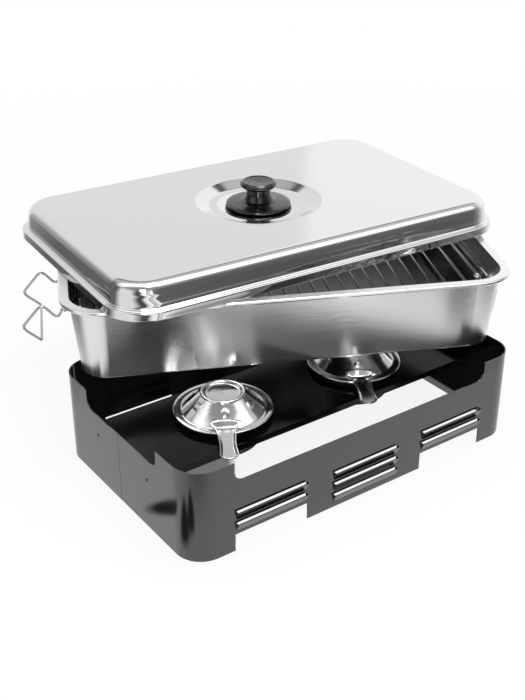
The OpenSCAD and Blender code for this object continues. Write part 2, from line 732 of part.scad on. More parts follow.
stand_shell();
burner_deck();
deck_rivets();
burner_cup(-1);  // burner_cup_left
burner_wool(-1);  // burner_wool_left
burner_mesh(-1);  // burner_mesh_left
burner_cup(1);  // burner_cup_right
burner_wool(1);  // burner_wool_right
burner_mesh(1);  // burner_mesh_right
burner_cover(-1);  // burner_cover_left
cover_handle(-1);  // cover_handle_left
cover_rivets(-1);  // cover_rivets_left
burner_cover(1);  // burner_cover_right
cover_handle(1);  // cover_handle_right
cover_rivets(1);  // cover_rivets_right
pan();
bail_lugs(-1);  // bail_lugs_left
bail_lugs(1);  // bail_lugs_right
bail_left();
bail_right();
drip_tray();
rack_frame();
rack_wires();
rack_hooks();
lid_shell();
knob_washer();
knob_screw();
knob_base();
knob_cap();
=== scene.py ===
import bpy
import json
from math import sin, cos, pi, radians, sqrt
from mathutils import Vector, Matrix


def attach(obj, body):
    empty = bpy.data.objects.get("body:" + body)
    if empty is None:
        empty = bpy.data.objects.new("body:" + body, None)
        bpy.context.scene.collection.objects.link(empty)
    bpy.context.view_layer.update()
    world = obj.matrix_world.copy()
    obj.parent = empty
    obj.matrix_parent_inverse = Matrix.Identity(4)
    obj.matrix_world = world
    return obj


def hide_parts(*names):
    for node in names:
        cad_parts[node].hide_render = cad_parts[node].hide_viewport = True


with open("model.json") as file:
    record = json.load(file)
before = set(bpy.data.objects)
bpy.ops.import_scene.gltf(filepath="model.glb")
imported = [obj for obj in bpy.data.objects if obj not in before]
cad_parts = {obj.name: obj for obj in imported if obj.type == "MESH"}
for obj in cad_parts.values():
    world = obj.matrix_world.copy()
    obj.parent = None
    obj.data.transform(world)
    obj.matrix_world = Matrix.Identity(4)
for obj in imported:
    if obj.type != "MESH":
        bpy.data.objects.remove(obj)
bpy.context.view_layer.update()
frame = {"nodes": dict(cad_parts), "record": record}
nodes = frame["nodes"]
print("frame loaded:", len(nodes), "nodes")

mm = 0.001

# where the pan and the lid stand at rest, in millimetres and degrees, as in the part
panPlace = {"at": (46.5, 205.5, 86.5), "turn": -25.4}
lidPlace = {"at": (54.5, 239.0, 159.0), "turn": -4.2}


def placeMatrix(place):
    move = Matrix.Translation([v * mm for v in place["at"]])
    return move @ Matrix.Rotation(radians(place["turn"]), 4, "Z")


panMatrix = placeMatrix(panPlace)
lidMatrix = placeMatrix(lidPlace)

cameraSetup = {
    "position": (-0.5421, -0.6014, 0.5838),
    "heading": 35.6,   # degrees from +Y towards +X
    "tilt": 28.65,     # degrees down
    "lens": 57.0,      # the long side of the picture is 36 mm
}

cameraData = bpy.data.cameras.new("studioCamera")
cameraData.lens = cameraSetup["lens"]
cameraData.sensor_width = 36
cameraData.clip_start = 0.02
cameraData.clip_end = 60
camera = bpy.data.objects.new("studioCamera", cameraData)
camera.location = cameraSetup["position"]
camera.rotation_euler = (radians(90 - cameraSetup["tilt"]), 0, radians(-cameraSetup["heading"]))
bpy.context.scene.collection.objects.link(camera)
bpy.context.scene.camera = camera
print("camera set")


def linear(hexText):
    channels = [int(hexText[i:i + 2], 16) / 255 for i in (1, 3, 5)]
    return tuple(c / 12.92 if c <= 0.04045 else ((c + 0.055) / 1.055) ** 2.4 for c in channels) + (1.0,)


def addNode(tree, kind, settings=None, links=None):
    node = tree.nodes.new(kind)
    for name, value in (settings or {}).items():
        if name == "stops":
            elements = node.color_ramp.elements
            while len(elements) < len(value):
                elements.new(0.5)
            for element, (position, color) in zip(elements, value):
                element.position = position
                element.color = color
        elif isinstance(name, int) or name in node.inputs:
            node.inputs[name].default_value = value
        else:
            setattr(node, name, value)
    for name, source in (links or {}).items():
        tree.links.new(source, node.inputs[name])
    return node


def newMaterial(name, color, settings=None):
    material = bpy.data.materials.new(name)
    material.use_nodes = True
    tree = material.node_tree
    tree.nodes.clear()
    shader = addNode(tree, "ShaderNodeBsdfPrincipled", {"Base Color": linear(color), **(settings or {})})
    addNode(tree, "ShaderNodeOutputMaterial", None, {"Surface": shader.outputs["BSDF"]})
    return material, tree, shader


def stretchedNoise(tree, turn, scale, detail=3.0, roughness=0.5):
    # noise in the object's own place, turned with the piece; scale is per metre along each side
    place = addNode(tree, "ShaderNodeTexCoord")
    rotated = addNode(tree, "ShaderNodeMapping", {"vector_type": "TEXTURE", "Rotation": (0, 0, radians(turn)),
                                                  "Scale": tuple(1 / s for s in scale)},
                      {"Vector": place.outputs["Object"]})
    return addNode(tree, "ShaderNodeTexNoise", {"Scale": 1.0, "Detail": detail, "Roughness": roughness},
                   {"Vector": rotated.outputs["Vector"]})


def roughen(tree, shader, cloud, limits, streak=None):
    # roughness wanders between the two limits with the noise, plus a fine streak where the metal is brushed
    rough = addNode(tree, "ShaderNodeMapRange", {"From Min": 0.3, "From Max": 0.7, "To Min": limits[0],
                                                 "To Max": limits[1]}, {"Value": cloud.outputs["Fac"]})
    result = rough.outputs["Result"]
    if streak:
        brush, depth = streak
        fine = addNode(tree, "ShaderNodeMath", {"operation": "MULTIPLY_ADD", 1: depth, 2: -depth / 2},
                       {0: brush.outputs["Fac"]})
        total = addNode(tree, "ShaderNodeMath", {"operation": "ADD"}, {0: result, 1: fine.outputs["Value"]})
        result = total.outputs["Value"]
    tree.links.new(result, shader.inputs["Roughness"])


def tint(tree, shader, cloud, stops):
    # colour wanders between the stops with the noise
    tone = addNode(tree, "ShaderNodeValToRGB", {"stops": [(at, linear(color)) for at, color in stops]},
                   {0: cloud.outputs["Fac"]})
    tree.links.new(tone.outputs["Color"], shader.inputs["Base Color"])


# stove enamel on folded sheet: black glass over steel, its grey is all reflection, with a soft orange peel
enamelSheet = {"color": "#0b0b0c", "bloom": "#17171a", "ior": 1.9, "roughness": (0.09, 0.17), "peelMm": 1.8,
               "peelDepth": 0.012, "waveMm": 60, "waveDepth": 0.25}


def makeEnamelSheet():
    look = enamelSheet
    material, tree, shader = newMaterial("stoveEnamelBlack", look["color"], {"IOR": look["ior"]})
    cloud = stretchedNoise(tree, 0, (14, 14, 20), 4)
    tint(tree, shader, cloud, [(0.35, look["color"]), (0.75, look["bloom"])])
    roughen(tree, shader, cloud, look["roughness"])
    grain, swell = 1000 / look["peelMm"], 1000 / look["waveMm"]
    peel = stretchedNoise(tree, 0, (grain, grain, grain), 2)
    fine = addNode(tree, "ShaderNodeBump", {"Strength": 0.3, "Distance": look["peelDepth"] * mm},
                   {"Height": peel.outputs["Fac"]})
    # the folded walls aren't quite flat
    wave = stretchedNoise(tree, 0, (swell, swell, swell * 0.4), 1)
    bump = addNode(tree, "ShaderNodeBump", {"Strength": 0.6, "Distance": look["waveDepth"] * mm},
                   {"Height": wave.outputs["Fac"], "Normal": fine.outputs["Normal"]})
    tree.links.new(bump.outputs["Normal"], shader.inputs["Normal"])
    return material


# gloss black enamel on the burner deck: deeper and darker than the walls, with faint heat bloom
deckEnamel = {"color": "#050505", "bloom": "#0d0d0e", "ior": 1.24, "roughness": (0.10, 0.20), "peelMm": 2.5,
              "peelDepth": 0.02}


def makeDeckEnamel():
    look = deckEnamel
    material, tree, shader = newMaterial("deckEnamelBlack", look["color"], {"IOR": look["ior"]})
    cloud = stretchedNoise(tree, 0, (30, 30, 30), 5)
    tint(tree, shader, cloud, [(0.4, look["color"]), (0.85, look["bloom"])])
    roughen(tree, shader, cloud, look["roughness"])
    grain = 1000 / look["peelMm"]
    peel = stretchedNoise(tree, 0, (grain, grain, grain), 2)
    bump = addNode(tree, "ShaderNodeBump", {"Strength": 0.25, "Distance": look["peelDepth"] * mm},
                   {"Height": peel.outputs["Fac"]})
    tree.links.new(bump.outputs["Normal"], shader.inputs["Normal"])
    return material


# stainless steel: brushing gives long level streaks, and drawing the pan leaves ripples along its walls
drawnStainless = {"color": "#e6e6e7", "roughness": (0.215, 0.25), "streak": 0.02, "brushMm": 0.8,
                  "rippleMm": 3.0, "turn": -25.4, "grain": 0.8, "warpMm": 46, "warpDepth": 0.9}
mirrorStainless = {"color": "#dcdcdd", "roughness": (0.05, 0.10), "brushMm": 0.9, "rippleMm": 30,
                   "turn": -4.2}
satinStainless = {"color": "#b9b9ba", "roughness": (0.32, 0.42), "brushMm": 0.8, "rippleMm": 9, "turn": -25.4}


def makeSteel(name, look, brushDepth, rippleDepth):
    material, tree, shader = newMaterial(name, look["color"], {"Metallic": 1.0})
    if "grain" in look:
        # the brushing runs level round the walls, so highlights spread upright
        shader.inputs["Anisotropic"].default_value = look["grain"]
        shader.inputs["Anisotropic Rotation"].default_value = 0.25
        level = addNode(tree, "ShaderNodeTangent", {"direction_type": "RADIAL", "axis": "Z"})
        tree.links.new(level.outputs["Tangent"], shader.inputs["Tangent"])
    fine = 1000 / look["brushMm"]
    brush = stretchedNoise(tree, look["turn"], (12, 12, fine), 4, 0.6)
    coarse = 1000 / look["rippleMm"]
    ripple = stretchedNoise(tree, look["turn"], (coarse * 0.22, coarse * 0.22, coarse), 2)
    cloud = stretchedNoise(tree, look["turn"], (9, 9, 16), 3)
    roughen(tree, shader, cloud, look["roughness"], (brush, look.get("streak", 0.08)))
    fineBump = addNode(tree, "ShaderNodeBump", {"Strength": 0.5, "Distance": brushDepth * mm},
                       {"Height": brush.outputs["Fac"]})
    bump = addNode(tree, "ShaderNodeBump", {"Strength": 0.6, "Distance": rippleDepth * mm},
                   {"Height": ripple.outputs["Fac"], "Normal": fineBump.outputs["Normal"]})
    if "warpMm" in look:
        # thin walls spring a little out of flat after drawing, which bends the reflections
        swell = 1000 / look["warpMm"]
        warp = stretchedNoise(tree, look["turn"], (swell, swell, swell * 0.45), 1)
        bump = addNode(tree, "ShaderNodeBump", {"Strength": 0.5, "Distance": look["warpDepth"] * mm},
                       {"Height": warp.outputs["Fac"], "Normal": bump.outputs["Normal"]})
    tree.links.new(bump.outputs["Normal"], shader.inputs["Normal"])
    return material


# bright plated wire, pressed covers and enamelled rivets: clean mirror with slight dents
brightPlate = {"roughness": (0.06, 0.14), "dentMm": 7}


def makeBrightPlate(name, color, dentDepth):
    look = brightPlate
    material, tree, shader = newMaterial(name, color, {"Metallic": 1.0})
    grain = 1000 / look["dentMm"]
    dents = stretchedNoise(tree, 0, (grain, grain, grain), 3)
    roughen(tree, shader, dents, look["roughness"])
    bump = addNode(tree, "ShaderNodeBump", {"Strength": 0.6, "Distance": dentDepth * mm},
                   {"Height": dents.outputs["Fac"]})
    tree.links.new(bump.outputs["Normal"], shader.inputs["Normal"])
    return material


# compression moulded bakelite: near black, glossy, with a trace of flow marks
bakelite = {"color": "#070707", "flow": "#121112", "ior": 1.6, "roughness": (0.12, 0.24), "flowDepth": 0.03}


def makeBakelite():
    look = bakelite
    material, tree, shader = newMaterial("bakeliteBlack", look["color"], {"IOR": look["ior"]})
    flow = stretchedNoise(tree, 0, (60, 60, 90), 4)
    tint(tree, shader, flow, [(0.4, look["color"]), (0.8, look["flow"])])
    roughen(tree, shader, flow, look["roughness"])
    bump = addNode(tree, "ShaderNodeBump", {"Strength": 0.2, "Distance": look["flowDepth"] * mm},
                   {"Height": flow.outputs["Fac"]})
    tree.links.new(bump.outputs["Normal"], shader.inputs["Normal"])
    return material


# matted mineral wool: pale warm fibres lying every way
mineralWool = {"light": "#cdc6b4", "shade": "#8e8775", "roughness": 0.95, "fibreMm": 1.4, "fibreDepth": 0.6}


def makeMineralWool():
    look = mineralWool
    material, tree, shader = newMaterial("mineralWool", look["light"], {"Roughness": look["roughness"]})
    grain = 1000 / look["fibreMm"]
    fibres = stretchedNoise(tree, 31, (grain, grain * 0.3, grain), 5, 0.7)
    tint(tree, shader, fibres, [(0.35, look["shade"]), (0.6, look["light"])])
    bump = addNode(tree, "ShaderNodeBump", {"Strength": 0.9, "Distance": look["fibreDepth"] * mm},
                   {"Height": fibres.outputs["Fac"]})
    tree.links.new(bump.outputs["Normal"], shader.inputs["Normal"])
    return material


materials = {
    "stand_enamel": makeEnamelSheet(),
    "deck_enamel": makeDeckEnamel(),
    "rivet_steel": makeBrightPlate("paintedRivet", "#4a4a4c", 0.05),
    "burner_steel": makeBrightPlate("pressedBrightSteel", "#dcdcdd", 0.22),
    "cup_steel": makeSteel("cupStainless", dict(satinStainless, turn=0), 0.01, 0.05),
    "mineral_wool": makeMineralWool(),
    "mesh_steel": makeSteel("meshStainless", dict(satinStainless, turn=0, color="#77777a"), 0.05, 0.05),
    "pan_steel": makeSteel("drawnStainless", drawnStainless, 0.012, 0.10),
    "bracket_steel": makeSteel("bracketStainless", satinStainless, 0.01, 0.02),
    "wire_chrome": makeBrightPlate("platedWire", "#bdbdbf", 0.02),
    "tray_steel": makeSteel("trayStainless", satinStainless, 0.01, 0.08),
    "lid_steel": makeSteel("mirrorStainless", mirrorStainless, 0.0015, 0.03),
    "bakelite": makeBakelite(),
    "screw_steel": makeSteel("screwSteel", dict(satinStainless, turn=0), 0.01, 0.02),
}
nodeSlots = {entry["node"]: entry["material_slot"] for entry in frame["record"]["subparts"]}
for name, piece in nodes.items():
    piece.data.materials.clear()
    piece.data.materials.append(materials[nodeSlots[name]])
print("materials ready:", len(materials))


def newMeshObject(name, points, faces, material):
    mesh = bpy.data.meshes.new(name)
    mesh.from_pydata([tuple(p) for p in points], [], faces)
    mesh.update()
    for face in mesh.polygons:
        face.use_smooth = True
    mesh.materials.append(material)
    piece = bpy.data.objects.new(name, mesh)
    bpy.context.scene.collection.objects.link(piece)
    return piece


def roundBends(points, bend, steps=6):
    # each corner of the path becomes an arc-like curve that starts `bend` before it
    path = [points[0]]
    for before, corner, after in zip(points, points[1:], points[2:]):
        inward = before - corner
        outward = after - corner
        reach = min(bend, inward.length * 0.48, outward.length * 0.48)
        start = corner + inward.normalized() * reach
        end = corner + outward.normalized() * reach
        for i in range(steps + 1):
            t = i / steps
            path.append(start * (1 - t) ** 2 + corner * 2 * t * (1 - t) + end * t ** 2)
    path.append(points[-1])
    return path


def tube(path, radius, sides=12):
    # round rod along a path, with closed ends
    points, faces = [], []
    direction = (path[1] - path[0]).normalized()
    side = direction.orthogonal().normalized()
    for i, point in enumerate(path):
        ahead = (path[min(i + 1, len(path) - 1)] - path[max(i - 1, 0)]).normalized()
        side = (side - ahead * side.dot(ahead)).normalized()
        up = ahead.cross(side)
        for k in range(sides):
            angle = 2 * pi * k / sides
            points.append(point + (side * cos(angle) + up * sin(angle)) * radius)
    for i in range(len(path) - 1):
        for k in range(sides):
            n = (k + 1) % sides
            faces.append((i * sides + k, i * sides + n, (i + 1) * sides + n, (i + 1) * sides + k))
    faces.append(tuple(range(sides))[::-1])
    faces.append(tuple((len(path) - 1) * sides + k for k in range(sides)))
    return points, faces


# wire bails: the same bends as the part, rounded as a wire bender leaves them
bailShape = {
    "wireRadius": 1.3,
    "half": 38.0,
    "pivotOut": 201.6276,
    "pivotUp": 35.5,
    "pinEnd": 29.9,
    "hang": 48.0,
    "bend": 2.6,
    "leg": [(0, 0), (3.6, 1), (6.2, -5), (9, -7.4), (12, -6), (19.5, 2.8), (23, 4.3), (26, 2.6),
            (40, -13.5), (40.8, -16.5), (38.5, -20), (25.5, -31)],
}


def makeBail(name, side, swing):
    shape = bailShape
    outline = [(0, -shape["pinEnd"], 0)]
    outline += [(x, -shape["half"], z) for x, z in shape["leg"]]
    outline += [(x, shape["half"], z) for x, z in reversed(shape["leg"])]
    outline += [(0, shape["pinEnd"], 0)]
    turn = Matrix.Rotation(0 if side > 0 else pi, 4, "Z")
    pivot = Matrix.Translation((shape["pivotOut"], 0, shape["pivotUp"]))
    lean = Matrix.Rotation(radians(shape["hang"] - swing), 4, "Y")
    place = panMatrix @ Matrix.Scale(mm, 4) @ turn @ pivot @ lean
    path = roundBends([Vector(p) for p in outline], shape["bend"])
    points, faces = tube(path, shape["wireRadius"], 14)
    return newMeshObject(name, [place @ p for p in points], faces, materials["wire_chrome"])


for name, side, swing, body in (("bailWireLeft", -1, 48, "bail_left"), ("bailWireRight", 1, 0, "bail_right")):
    bail = makeBail(name, side, swing)
    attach(bail, body)
    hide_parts(body)
print("bails bent")

# cover handles: a pressed strap that climbs the cone at its root and ends in a round tip
handleShape = {
    "burners": {"Left": -76.0, "Right": 76.0},
    "middle": 110.5,
    "angle": -120.0,
    "root": 31.2,
    "rootZ": 67.2,
    "bend": 37.2,
    "level": 61.65,
    "neck": 51.3,
    "tip": 79.0,
    "half": 8.0,
    "rootHalf": 13.5,
    "rail": 2.2,
    "sheet": 0.8,
}


def handleHalf(x):
    shape = handleShape
    if x < shape["neck"]:
        t = (x - shape["root"]) / (shape["neck"] - shape["root"])
        return shape["rootHalf"] + (shape["half"] - shape["rootHalf"]) * sin(t * pi / 2)
    waist = shape["half"] - 0.9 * sin(pi * min(1, (x - shape["neck"]) / (shape["tip"] - shape["neck"])))
    if x <= shape["tip"]:
        return waist
    return sqrt(max(0.0, shape["half"] ** 2 - (x - shape["tip"]) ** 2))


def makeHandle(name, burnerX):
    shape = handleShape
    stations = [shape["root"] + (shape["tip"] - shape["root"]) * i / 44 for i in range(44)]
    stations += [shape["tip"] + (shape["half"] - 0.05) * sin(pi / 2 * i / 10) for i in range(11)]
    across = 22
    points, faces = [], []
    for x in stations:
        half = handleHalf(x)
        if x < shape["bend"]:
            t = (x - shape["root"]) / (shape["bend"] - shape["root"])
            base = shape["rootZ"] + (shape["level"] - shape["rootZ"]) * t
        else:
            base = shape["level"]
        for k in range(across + 1):
            y = half * sin(pi / 2 * (2 * k / across - 1))
            edge = half - abs(y)
            if x > shape["tip"]:
                edge = shape["half"] - sqrt((x - shape["tip"]) ** 2 + y * y)
            t = max(0.0, min(1.0, 1 - edge / 2.6))
            lift = (shape["rail"] - shape["sheet"]) * t * t * (3 - 2 * t)
            if x < shape["bend"] + 3:
                lift *= max(0.0, (x - shape["root"]) / (shape["bend"] + 3 - shape["root"]))
                radius = sqrt(x * x + y * y)
                slope = (shape["rootZ"] - shape["level"]) / (shape["bend"] - shape["root"])
                base2 = max(shape["level"], shape["rootZ"] - (radius - shape["root"]) * slope)
                points.append(Vector((x, y, base2 + lift)))
            else:
                points.append(Vector((x, y, base + lift)))
    for i in range(len(stations) - 1):
        for k in range(across):
            a = i * (across + 1) + k
            faces.append((a, a + across + 1, a + across + 2, a + 1))
    place = Matrix.Scale(mm, 4) @ Matrix.Translation((burnerX, shape["middle"], 0))
    place = place @ Matrix.Rotation(radians(shape["angle"]), 4, "Z")
    handle = newMeshObject(name, [place @ p for p in points], faces, materials["burner_steel"])
    thick = handle.modifiers.new("sheetThickness", "SOLIDIFY")
    thick.thickness = shape["sheet"] * mm
    thick.offset = 1
    return handle


for sideName, burnerX in handleShape["burners"].items():
    handle = makeHandle("coverHandle" + sideName, burnerX)
    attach(handle, "cover_" + sideName.lower())
    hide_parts("cover_handle_" + sideName.lower())
print("handles pressed")


def latheRings(profile, steps):
    # rings of points round the z axis, one for each (radius, height)
    return [[Vector((r * cos(2 * pi * k / steps), r * sin(2 * pi * k / steps), z)) for k in range(steps)]
            for r, z in profile]


def skinRings(rings):
    steps = len(rings[0])
    points = [p for ring in rings for p in ring]
    faces = []
    for i in range(len(rings) - 1):
        low, high = i * steps, (i + 1) * steps
        faces += [(low + k, low + (k + 1) % steps, high + (k + 1) % steps, high + k) for k in range(steps)]
    return points, faces


def arcPoints(x, z, radius, start, end, steps):
    return [(x + radius * cos(radians(start + (end - start) * i / steps)),
             z + radius * sin(radians(start + (end - start) * i / steps))) for i in range(steps + 1)]


# burner covers: pressed and polished, with a rolled edge, a crease where the cone meets the brim,
# six round dimples and a dished disc in the crown
coverShape = {
    "brim": 60.2,
    "edge": 45.3,
    "roll": 1.1,
    "crease": 37.6,
    "crown": 19.0,
    "disc": 16.5,
    "height": 18.0,
    "dish": 2.5,
    "sheet": 0.7,
    "dimpleAt": 27.0,
    "dimpleRadius": 3.9,
    "dimpleHeight": 0.6,
    "steps": 180,
}


def coverProfile():
    shape = coverShape
    low, top, sheet = shape["brim"], shape["brim"] + shape["height"], shape["sheet"]
    profile = arcPoints(shape["edge"] - shape["roll"], low + 0.3, shape["roll"], -200, 70, 12)
    profile += [(shape["crease"] + 3, low + sheet + 0.12), (shape["crease"] + 0.6, low + sheet + 0.1)]
    cone = [(shape["crease"], low + sheet + 0.35), (shape["crown"] + 1.3, top - 1.0)]
    for i in range(25):
        t = i / 24
        r = cone[0][0] + (cone[1][0] - cone[0][0]) * t
        profile.append((r, cone[0][1] + (cone[1][1] - cone[0][1]) * t - 0.35 * sin(pi * t)))
    profile += arcPoints(shape["crown"] + 0.1, top - 1.25, 1.3, 20, 120, 5)
    # down into the dish, whose floor rises a little to its middle
    disc, floorZ = shape["disc"], top - shape["dish"]
    profile += [(disc + 1.2, top - 0.3), (disc + 0.4, top - 1.0), (disc - 0.2, top - 1.9)]
    profile += [(disc - 1.2, floorZ + 0.1), (disc - 2.6, floorZ + 0.25)]
    profile += [(disc * k, floorZ + 0.25 + 0.35 * (0.85 - k)) for k in (0.6, 0.35, 0.12, 0.002)]
    return profile


def makeCover(name, burnerX):
    shape = coverShape
    points, faces = skinRings(latheRings(coverProfile(), shape["steps"]))
    slope = Vector((1, 0, 1.08)).normalized()   # square to the cone, outward and up
    for i in range(6):
        turn = Matrix.Rotation(radians(handleShape["angle"] + 60 * i), 3, "Z")
        r = shape["dimpleAt"]
        t = (shape["crease"] - r) / (shape["crease"] - shape["crown"] - 1.3)
        middle = turn @ Vector((r, 0, shape["brim"] + 1.05 + t * (shape["height"] - 2.05)))
        for point in points:
            far = (point - middle).length
            if far < shape["dimpleRadius"] + 0.2 and point.z > shape["brim"] + 3:
                t = max(0.0, min(1.0, (shape["dimpleRadius"] - far) / 1.1))
                point += turn @ slope * (shape["dimpleHeight"] * t * t * (3 - 2 * t))
    place = Matrix.Scale(mm, 4) @ Matrix.Translation((burnerX, handleShape["middle"], 0))
    cover = newMeshObject(name, [place @ p for p in points], faces, materials["burner_steel"])
    thick = cover.modifiers.new("sheetThickness", "SOLIDIFY")
    thick.thickness = shape["sheet"] * mm
    thick.offset = -1
    return cover


for sideName, burnerX in handleShape["burners"].items():
    cover = makeCover("burnerCover" + sideName, burnerX)
    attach(cover, "cover_" + sideName.lower())
    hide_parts("burner_cover_" + sideName.lower())
print("covers turned")

# lid: one pressed sheet with a soft shoulder, a stepped shelf, a rolled hem and a round dish for the knob
lidShape = {
    "size": (420.0, 262.0),
    "corner": 40.0,
    "height": 31.0,
    "sheet": 0.8,
    "shoulder": 11.0,
    "shelf": 9.2,
    "shelfWidth": 6.3,
    "step": 0.8,
    "hem": 1.3,
    "dish": 62.0,
    "dishFloor": 49.0,
    "dishDepth": 5.0,
    "cornerSteps": 24,
    "sideSteps": 30,
}


def lidProfile():
    # outer face from the hem to the flat top, as (distance from the corner's centre, height)
    shape = lidShape
    out, high, low = shape["corner"], shape["shelf"], shape["shelf"] - shape["step"]
    wall = out - shape["shelfWidth"]
    stepAt = wall + shape["shelfWidth"] * 0.55
    topWall = wall - 0.8
    outer = arcPoints(out - shape["hem"], shape["hem"], shape["hem"], -190, 10, 12)
    outer += [(out - 0.12, 3.0), (out - 0.3, low - 1.9)]
    outer += arcPoints(out - 1.6, low - 1.35, 1.35, 10, 88, 6)
    outer += [(stepAt + 0.9, low), (stepAt + 0.3, low + 0.1)]
    outer += [(stepAt - 0.1, high - 0.15), (stepAt - 0.7, high)]
    outer += [(wall + 1.9, high)] + arcPoints(wall + 1.7, high + 1.5, 1.5, 270, 184, 6)
    # the wall bows out a little before it turns into the shoulder
    middle, span = topWall - shape["shoulder"], shape["height"] - shape["shoulder"]
    foot = (wall + 0.2, high + 1.9)
    for i in range(1, 6):
        t = i / 6
        outer.append((foot[0] + (topWall - foot[0]) * t + 0.25 * sin(pi * t), foot[1] + (span - foot[1]) * t))
    outer += arcPoints(middle, span, shape["shoulder"], 0, 90, 22)
    return outer


def lidRing(reach, height):
    # rounded rectangle at this distance from the corner centres
    shape = lidShape
    halfX, halfY = (side / 2 - shape["corner"] for side in shape["size"])
    ring = []
    for corner in range(4):
        sx, sy = ((1, 1), (-1, 1), (-1, -1), (1, -1))[corner]
        for i in range(shape["cornerSteps"] + 1):
            angle = pi / 2 * (corner + i / shape["cornerSteps"])
            ring.append(Vector((sx * halfX + reach * cos(angle), sy * halfY + reach * sin(angle), height)))
        # even steps along the straight side that follows
        angle = pi / 2 * (corner + 1)
        nx, ny = ((-1, 1), (-1, -1), (1, -1), (1, 1))[corner]
        start = ring[-1].copy()
        end = Vector((nx * halfX + reach * cos(angle), ny * halfY + reach * sin(angle), height))
        count = shape["sideSteps"]
        ring += [start.lerp(end, i / count) for i in range(1, count)]
    return ring


def makeLid():
    shape = lidShape
    outer = lidProfile()
    rings = [lidRing(x, z) for x, z in outer]
    rings.append(lidRing(outer[-1][0] - 0.5, shape["height"]))
    # from the rounded rectangle to the round dish, keeping each point's direction
    directions = [Vector((p.x, p.y)).normalized() for p in rings[-1]]
    floorZ = shape["height"] - shape["dishDepth"]
    dish = [(shape["dish"] + 1.2, shape["height"]), (shape["dish"] + 0.5, shape["height"]),
            (shape["dish"] - 0.2, shape["height"] - 0.12), (shape["dish"] - 1.0, shape["height"] - 0.42),
            (shape["dishFloor"] + 1.2, floorZ + 0.5), (shape["dishFloor"] + 0.2, floorZ + 0.12),
            (shape["dishFloor"] - 0.6, floorZ), (shape["dishFloor"] - 1.4, floorZ), (3.0, floorZ)]
    rings += [[Vector((d.x * r, d.y * r, z)) for d in directions] for r, z in dish]
    points, faces = skinRings(rings)
    place = lidMatrix @ Matrix.Scale(mm, 4)
    lid = newMeshObject("lidSheet", [place @ p for p in points], faces, materials["lid_steel"])
    thick = lid.modifiers.new("sheetThickness", "SOLIDIFY")
    thick.thickness = shape["sheet"] * mm
    thick.offset = -1
    return lid


lid = makeLid()
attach(lid, "lid")
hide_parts("lid_shell")
print("lid pressed")

# studio: pale floor, white surroundings, soft lamps
studio = {
    "floor": "#f2f2f2",
    "floorSize": 3.0,
    "lightTable": 0.88,
    "ambient": 0.75,
    "middle": (0.05, 0.14),
    "whiteReach": (0.30, 0.46),   # how far out shiny surfaces still see the floor white, in metres
    "edgeHeading": 38.0,   # where the backdrop's brighter half starts, degrees from +Y towards +X
    # what shiny surfaces see, from the backdrop (0) over the ceiling (0.5) to behind the camera (1)
    "overhead": [(0.0, 1.0), (0.235, 1.0), (0.25, 0.10), (0.27, 0.10), (0.29, 0.55), (0.40, 0.62),
                 (0.43, 1.5), (0.57, 1.5), (0.62, 0.40), (0.80, 0.20), (0.92, 0.04), (1.0, 0.03)],
    # and round the horizon, by heading in degrees from +Y towards +X
    "round": [(-60, 0.16), (-30, 0.16), (-14, 0.95), (90, 1.0), (118, 0.30), (140, 0.13), (160, 0.12),
              (176, 0.16), (181.5, 0.16), (184, 0.3), (187, 1.35), (192, 1.1), (195, 0.6), (197, 0.75),
              (199.5, 1.25), (201, 0.35), (203.5, 0.3), (205, 1.3), (214, 1.2), (224, 0.1), (234, 0.1),
              (250, 1.0), (282, 1.0), (296, 0.16)],
    "ceilingFrom": (0.42, 0.72),   # steepness at which the room's sides give way to the ceiling
    "halves": (0.98, 1.16),   # the backdrop's two brightnesses
    # the paper inside the stove: middle and half size of the box, in metres
    "box": ((0, 0.1105, 0), (0.171, 0.101)),
    # painted shade: the box's closed left corner is left of a slanting line, and its paper is painted dim,
    # fading in over the last 10 mm
    "paintedCornerShade": {"lean": -0.67, "from": -0.146, "to": -0.136, "depth": 0.14, "bright": 0.18},
    "horizon": (0.45, 1.3),   # between these the paper turns as white as the backdrop, in metres
    "paperToneAndPaintedShade": (0.95, 0.02),   # painted shade in reflections: how bright shiny surfaces see the paper, outside the box and inside it, where it is painted near black
    # painted reflections: soft dark shapes painted on the paper that only shiny surfaces see: middle, half
    # length, half width, heading
    "paintedDarkReflections": [((-0.214, 0.079), 0.026, 0.0125, 58), ((-0.230, 0.020), 0.036, 0.020, 278),
                ((-0.238, -0.014), 0.034, 0.018, 253), ((0.128, -0.172), 0.060, 0.020, 182)],
}


